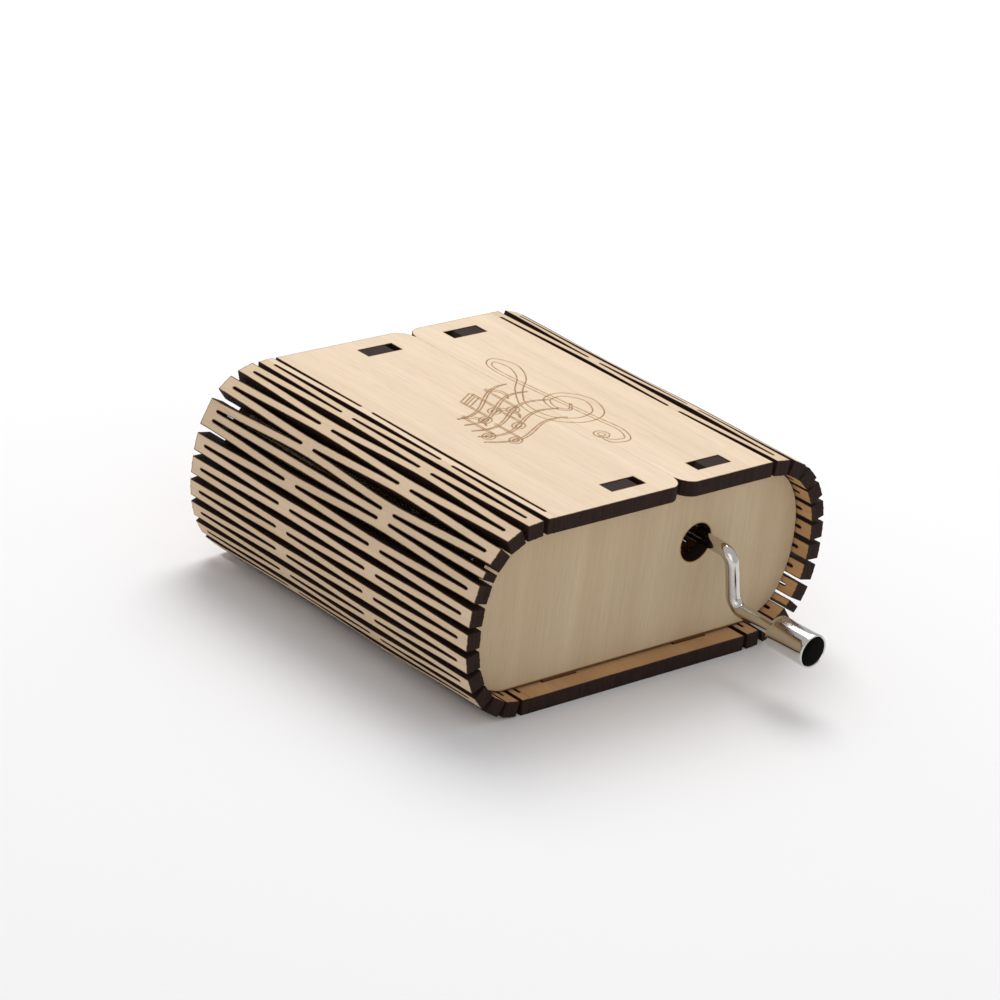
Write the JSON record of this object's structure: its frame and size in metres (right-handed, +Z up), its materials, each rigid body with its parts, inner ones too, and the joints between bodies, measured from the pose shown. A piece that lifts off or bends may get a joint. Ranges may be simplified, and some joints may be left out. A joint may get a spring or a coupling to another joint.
{
  "type": "hand crank music box",
  "caption": "Flat plywood music box whose sheet case wraps over two living hinges and closes at a top seam, with a bent-wire hand crank and a pinned-drum movement inside.",
  "frame": {"origin": "middle of the bottom panel's underside, on the surface the box stands on", "axes": "+Z up; -Y is the crank side; +X to the right when facing the crank; the hinge slits run along Y"},
  "size_m": [0.088, 0.101, 0.0382],
  "materials": {
    "sheet_plywood": "pale birch plywood, raw, with dark laser-burnt cut edges",
    "end_plywood": "pale birch plywood, raw, fine upright grain",
    "hinge_plywood": "birch plywood strips toasted by the laser, with near-black cut edges",
    "nickel": "polished nickel plate",
    "casting": "satin zinc die-casting",
    "steel": "ground spring steel",
    "brass": "turned brass"
  },
  "bodies": {
    "root": {"bottom_panel": "sheet_plywood", "front_end_plate": "end_plywood", "rear_end_plate": "end_plywood", "movement_bedplate": "casting", "movement_screw_front": "steel", "movement_screw_back": "steel", "worm_bracket": "steel", "worm_bracket_screw_front": "steel", "worm_bracket_screw_back": "steel", "tone_comb": "steel", "comb_screw_left": "steel", "comb_screw_right": "steel"},
    "left_strip_01": {"left_strip_01": "hinge_plywood"},
    "left_strip_02": {"left_strip_02": "hinge_plywood"},
    "left_strip_03": {"left_strip_03": "hinge_plywood"},
    "left_strip_04": {"left_strip_04": "hinge_plywood"},
    "left_strip_05": {"left_strip_05": "hinge_plywood"},
    "left_strip_06": {"left_strip_06": "hinge_plywood"},
    "left_strip_07": {"left_strip_07": "hinge_plywood"},
    "left_strip_08": {"left_strip_08": "hinge_plywood"},
    "left_strip_09": {"left_strip_09": "hinge_plywood"},
    "left_strip_10": {"left_strip_10": "hinge_plywood"},
    "left_strip_11": {"left_strip_11": "hinge_plywood"},
    "left_strip_12": {"left_strip_12": "hinge_plywood"},
    "left_cover": {"left_cover": "sheet_plywood"},
    "right_strip_01": {"right_strip_01": "hinge_plywood"},
    "right_strip_02": {"right_strip_02": "hinge_plywood"},
    "right_strip_03": {"right_strip_03": "hinge_plywood"},
    "right_strip_04": {"right_strip_04": "hinge_plywood"},
    "right_strip_05": {"right_strip_05": "hinge_plywood"},
    "right_strip_06": {"right_strip_06": "hinge_plywood"},
    "right_strip_07": {"right_strip_07": "hinge_plywood"},
    "right_strip_08": {"right_strip_08": "hinge_plywood"},
    "right_strip_09": {"right_strip_09": "hinge_plywood"},
    "right_strip_10": {"right_strip_10": "hinge_plywood"},
    "right_strip_11": {"right_strip_11": "hinge_plywood"},
    "right_strip_12": {"right_strip_12": "hinge_plywood"},
    "right_strip_13": {"right_strip_13": "hinge_plywood"},
    "right_cover": {"right_cover": "sheet_plywood"},
    "crank": {"crank_rod": "nickel", "worm": "brass"},
    "cylinder": {"pinned_drum": "brass", "drum_cap_left": "brass", "drum_cap_right": "brass", "drum_arbor": "steel", "worm_wheel": "brass"},
    "knob": {"crank_knob": "nickel"}
  },
  "joints": [
    {"name": "left_hinge_01", "type": "hinge", "parent": "root", "child": "left_strip_01", "pos_m": [-0.02898, 0, 0.0015], "axis": [0, -1, 0], "range_deg": [0, 9.46]},
    {"name": "left_hinge_02", "type": "hinge", "parent": "left_strip_01", "child": "left_strip_02", "pos_m": [-0.03313, 0, 0.00219], "axis": [0, -1, 0], "range_deg": [0, 20.69]},
    {"name": "left_hinge_03", "type": "hinge", "parent": "left_strip_02", "child": "left_strip_03", "pos_m": [-0.03679, 0, 0.00432], "axis": [0, -1, 0], "range_deg": [0, 18.85]},
    {"name": "left_hinge_04", "type": "hinge", "parent": "left_strip_03", "child": "left_strip_04", "pos_m": [-0.0396, 0, 0.00754], "axis": [0, -1, 0], "range_deg": [0, 15.47]},
    {"name": "left_hinge_05", "type": "hinge", "parent": "left_strip_04", "child": "left_strip_05", "pos_m": [-0.04145, 0, 0.01143], "axis": [0, -1, 0], "range_deg": [0, 12.63]},
    {"name": "left_hinge_06", "type": "hinge", "parent": "left_strip_05", "child": "left_strip_06", "pos_m": [-0.04242, 0, 0.01566], "axis": [0, -1, 0], "range_deg": [0, 10.23]},
    {"name": "left_hinge_07", "type": "hinge", "parent": "left_strip_06", "child": "left_strip_07", "pos_m": [-0.04263, 0, 0.02003], "axis": [0, -1, 0], "range_deg": [0, 6.62]},
    {"name": "left_hinge_08", "type": "hinge", "parent": "left_strip_07", "child": "left_strip_08", "pos_m": [-0.04232, 0, 0.02443], "axis": [0, -1, 0], "range_deg": [0, 10.08]},
    {"name": "left_hinge_09", "type": "hinge", "parent": "left_strip_08", "child": "left_strip_09", "pos_m": [-0.04125, 0, 0.02872], "axis": [0, -1, 0], "range_deg": [0, 10.83]},
    {"name": "left_hinge_10", "type": "hinge", "parent": "left_strip_09", "child": "left_strip_10", "pos_m": [-0.04031, 0, 0.03075], "axis": [0, -1, 0], "range_deg": [0, 14.71]},
    {"name": "left_hinge_11", "type": "hinge", "parent": "left_strip_10", "child": "left_strip_11", "pos_m": [-0.03747, 0, 0.03418], "axis": [0, -1, 0], "range_deg": [0, 23.48]},
    {"name": "left_hinge_12", "type": "hinge", "parent": "left_strip_11", "child": "left_strip_12", "pos_m": [-0.03348, 0, 0.03621], "axis": [0, -1, 0], "range_deg": [0, 20.72]},
    {"name": "left_hinge_13", "type": "hinge", "parent": "left_strip_12", "child": "left_cover", "pos_m": [-0.02898, 0, 0.0367], "axis": [0, -1, 0], "range_deg": [0, 6.23]},
    {"name": "right_hinge_01", "type": "hinge", "parent": "root", "child": "right_strip_01", "pos_m": [0.02751, 0, 0.0015], "axis": [0, 1, 0], "range_deg": [0, 4.45]},
    {"name": "right_hinge_02", "type": "hinge", "parent": "right_strip_01", "child": "right_strip_02", "pos_m": [0.03143, 0, 0.00181], "axis": [0, 1, 0], "range_deg": [0, 14.6]},
    {"name": "right_hinge_03", "type": "hinge", "parent": "right_strip_02", "child": "right_strip_03", "pos_m": [0.03519, 0, 0.0031], "axis": [0, 1, 0], "range_deg": [0, 18.76]},
    {"name": "right_hinge_04", "type": "hinge", "parent": "right_strip_03", "child": "right_strip_04", "pos_m": [0.03836, 0, 0.00556], "axis": [0, 1, 0], "range_deg": [0, 14.2]},
    {"name": "right_hinge_05", "type": "hinge", "parent": "right_strip_04", "child": "right_strip_05", "pos_m": [0.03961, 0, 0.00716], "axis": [0, 1, 0], "range_deg": [0, 12.47]},
    {"name": "right_hinge_06", "type": "hinge", "parent": "right_strip_05", "child": "right_strip_06", "pos_m": [0.04137, 0, 0.01085], "axis": [0, 1, 0], "range_deg": [0, 13.39]},
    {"name": "right_hinge_07", "type": "hinge", "parent": "right_strip_06", "child": "right_strip_07", "pos_m": [0.04223, 0, 0.01489], "axis": [0, 1, 0], "range_deg": [0, 9.3]},
    {"name": "right_hinge_08", "type": "hinge", "parent": "right_strip_07", "child": "right_strip_08", "pos_m": [0.04244, 0, 0.01908], "axis": [0, 1, 0], "range_deg": [0, 6.79]},
    {"name": "right_hinge_09", "type": "hinge", "parent": "right_strip_08", "child": "right_strip_09", "pos_m": [0.04215, 0, 0.0233], "axis": [0, 1, 0], "range_deg": [0, 10.82]},
    {"name": "right_hinge_10", "type": "hinge", "parent": "right_strip_09", "child": "right_strip_10", "pos_m": [0.04106, 0, 0.02742], "axis": [0, 1, 0], "range_deg": [0, 13.86]},
    {"name": "right_hinge_11", "type": "hinge", "parent": "right_strip_10", "child": "right_strip_11", "pos_m": [0.03899, 0, 0.03121], "axis": [0, 1, 0], "range_deg": [0, 16.86]},
    {"name": "right_hinge_12", "type": "hinge", "parent": "right_strip_11", "child": "right_strip_12", "pos_m": [0.03589, 0, 0.03426], "axis": [0, 1, 0], "range_deg": [0, 19.04]},
    {"name": "right_hinge_13", "type": "hinge", "parent": "right_strip_12", "child": "right_strip_13", "pos_m": [0.03192, 0, 0.03614], "axis": [0, 1, 0], "range_deg": [0, 18.24]},
    {"name": "right_hinge_14", "type": "hinge", "parent": "right_strip_13", "child": "right_cover", "pos_m": [0.02751, 0, 0.0367], "axis": [0, 1, 0], "range_deg": [0, 7.2]},
    {"name": "crank_turn", "type": "hinge", "parent": "root", "child": "crank", "pos_m": [0.0163, -0.0388, 0.0235], "axis": [0, 1, 0], "continuous": true},
    {"name": "cylinder_turn", "type": "hinge", "parent": "root", "child": "cylinder", "pos_m": [0, -0.014, 0.0146], "axis": [1, 0, 0], "continuous": true},
    {"name": "knob_spin", "type": "hinge", "parent": "crank", "child": "knob", "pos_m": [0.01905, -0.0576, 0.01223], "axis": [0, 1, 0], "continuous": true}
  ],
  "couplings": [
    {"joint": "left_hinge_01", "follows": "left_hinge_02", "ratio": 0.45713},
    {"joint": "left_hinge_03", "follows": "left_hinge_02", "ratio": 0.9109},
    {"joint": "left_hinge_04", "follows": "left_hinge_02", "ratio": 0.74737},
    {"joint": "left_hinge_05", "follows": "left_hinge_02", "ratio": 0.61033},
    {"joint": "left_hinge_06", "follows": "left_hinge_02", "ratio": 0.49441},
    {"joint": "left_hinge_07", "follows": "left_hinge_02", "ratio": 0.31983},
    {"joint": "left_hinge_08", "follows": "left_hinge_02", "ratio": 0.48703},
    {"joint": "left_hinge_09", "follows": "left_hinge_02", "ratio": 0.52346},
    {"joint": "left_hinge_10", "follows": "left_hinge_02", "ratio": 0.71087},
    {"joint": "left_hinge_11", "follows": "left_hinge_02", "ratio": 1.1345},
    {"joint": "left_hinge_12", "follows": "left_hinge_02", "ratio": 1.0012},
    {"joint": "left_hinge_13", "follows": "left_hinge_02", "ratio": 0.30091},
    {"joint": "right_hinge_01", "follows": "right_hinge_03", "ratio": 0.23742},
    {"joint": "right_hinge_02", "follows": "right_hinge_03", "ratio": 0.77825},
    {"joint": "right_hinge_04", "follows": "right_hinge_03", "ratio": 0.75692},
    {"joint": "right_hinge_05", "follows": "right_hinge_03", "ratio": 0.66462},
    {"joint": "right_hinge_06", "follows": "right_hinge_03", "ratio": 0.71387},
    {"joint": "right_hinge_07", "follows": "right_hinge_03", "ratio": 0.49569},
    {"joint": "right_hinge_08", "follows": "right_hinge_03", "ratio": 0.36201},
    {"joint": "right_hinge_09", "follows": "right_hinge_03", "ratio": 0.5769},
    {"joint": "right_hinge_10", "follows": "right_hinge_03", "ratio": 0.7388},
    {"joint": "right_hinge_11", "follows": "right_hinge_03", "ratio": 0.89873},
    {"joint": "right_hinge_12", "follows": "right_hinge_03", "ratio": 1.0147},
    {"joint": "right_hinge_13", "follows": "right_hinge_03", "ratio": 0.97239},
    {"joint": "right_hinge_14", "follows": "right_hinge_03", "ratio": 0.38392},
    {"joint": "cylinder_turn", "follows": "crank_turn", "ratio": 0.05}
  ]
}
